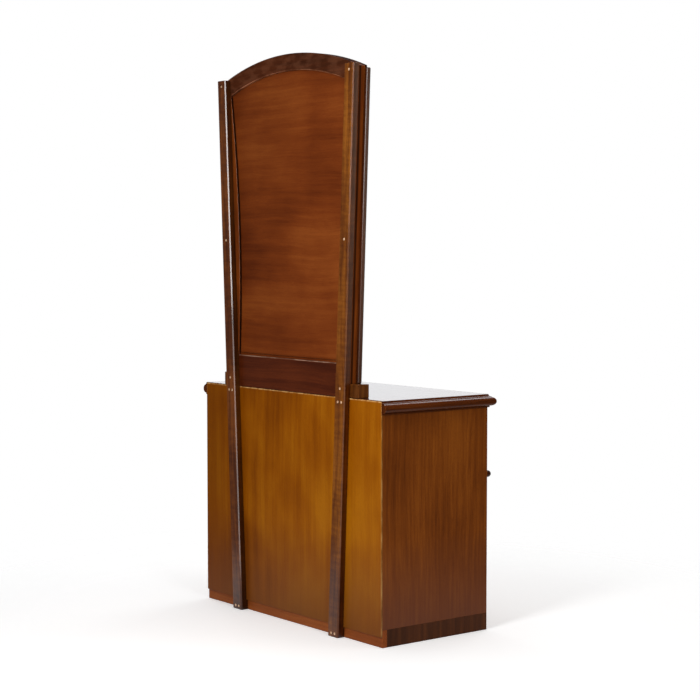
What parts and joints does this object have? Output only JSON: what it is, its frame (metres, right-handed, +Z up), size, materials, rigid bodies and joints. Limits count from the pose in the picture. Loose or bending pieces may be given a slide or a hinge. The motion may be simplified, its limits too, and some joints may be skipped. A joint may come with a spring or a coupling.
{
  "type": "salon styling station",
  "caption": "Wooden salon styling station: two-pedestal cabinet with drawers and doors, and a tall arched mirror on two tapered posts screwed to its back.",
  "frame": {"origin": "on the floor, under the middle of the bounding box", "axes": "+Z up, front with the drawers and the mirror towards -Y, back with the posts towards +Y, left and right as seen from the front are -X and +X"},
  "size_m": [1.012, 0.496, 1.85],
  "materials": {
    "base_wood": "satin",
    "side_veneer": "satin",
    "front_veneer": "satin",
    "back_plywood": "satin",
    "top_lacquer": "gloss",
    "moulding_wood": "gloss",
    "drawer_wood": "matte",
    "drawer_ply": "matte",
    "post_wood": "gloss",
    "rail_wood": "satin",
    "dark_wood": "gloss",
    "knob_wood": "gloss",
    "backing_plywood": "satin",
    "mirror_glass": "polished",
    "brass": "satin",
    "steel": "satin",
    "catch_plastic": "matte"
  },
  "bodies": {
    "cabinet": {"rear_plinth_rail": "base_wood", "left_plinth": "base_wood", "right_plinth": "base_wood", "left_side": "side_veneer", "right_side": "side_veneer", "left_partition": "side_veneer", "right_partition": "side_veneer", "left_floor": "side_veneer", "right_floor": "side_veneer", "left_divider": "side_veneer", "right_divider": "side_veneer", "back_panel": "back_plywood", "front_top_rail": "side_veneer", "centre_drawer_runners": "drawer_wood", "top_board": "top_lacquer", "left_moulding": "moulding_wood", "right_moulding": "moulding_wood", "front_moulding": "moulding_wood", "cabinet_hinge_leaves": "brass", "hinge_pins": "brass", "magnetic_catches": "catch_plastic", "left_post": "post_wood", "right_post": "post_wood", "post_screws": "brass", "left_stile": "post_wood", "right_stile": "post_wood", "bottom_rail": "rail_wood", "arched_rail": "dark_wood", "left_foot_block": "post_wood", "right_foot_block": "post_wood", "left_frame_moulding": "dark_wood", "right_frame_moulding": "dark_wood", "arched_moulding": "dark_wood", "mirror_glass": "mirror_glass", "backing_panel": "backing_plywood"},
    "left_drawer": {"left_drawer_front": "front_veneer", "left_drawer_sides": "drawer_wood", "left_drawer_back": "drawer_wood", "left_drawer_bottom": "drawer_ply", "left_drawer_knob": "knob_wood"},
    "centre_drawer": {"centre_drawer_front": "front_veneer", "centre_drawer_sides": "drawer_wood", "centre_drawer_back": "drawer_wood", "centre_drawer_bottom": "drawer_ply", "centre_drawer_knob": "knob_wood"},
    "right_drawer": {"right_drawer_front": "front_veneer", "right_drawer_sides": "drawer_wood", "right_drawer_back": "drawer_wood", "right_drawer_bottom": "drawer_ply", "right_drawer_knob": "knob_wood"},
    "left_door": {"left_door_frame": "front_veneer", "left_door_panel": "front_veneer", "left_door_knob": "knob_wood", "left_door_hinge_leaves": "brass", "left_door_strike": "steel"},
    "right_door": {"right_door_frame": "front_veneer", "right_door_panel": "front_veneer", "right_door_knob": "knob_wood", "right_door_hinge_leaves": "brass", "right_door_strike": "steel"}
  },
  "joints": [
    {"name": "left_drawer_slide", "type": "slide", "parent": "cabinet", "child": "left_drawer", "axis": [0, -1, 0], "range_m": [0, 0.28]},
    {"name": "centre_drawer_slide", "type": "slide", "parent": "cabinet", "child": "centre_drawer", "axis": [0, -1, 0], "range_m": [0, 0.28]},
    {"name": "right_drawer_slide", "type": "slide", "parent": "cabinet", "child": "right_drawer", "axis": [0, -1, 0], "range_m": [0, 0.28]},
    {"name": "left_door_hinge", "type": "hinge", "parent": "cabinet", "child": "left_door", "pos_m": [-0.19, -0.213, 0.321], "axis": [0, 0, 1], "range_deg": [0, 100]},
    {"name": "right_door_hinge", "type": "hinge", "parent": "cabinet", "child": "right_door", "pos_m": [0.19, -0.213, 0.321], "axis": [0, 0, -1], "range_deg": [0, 100]}
  ]
}
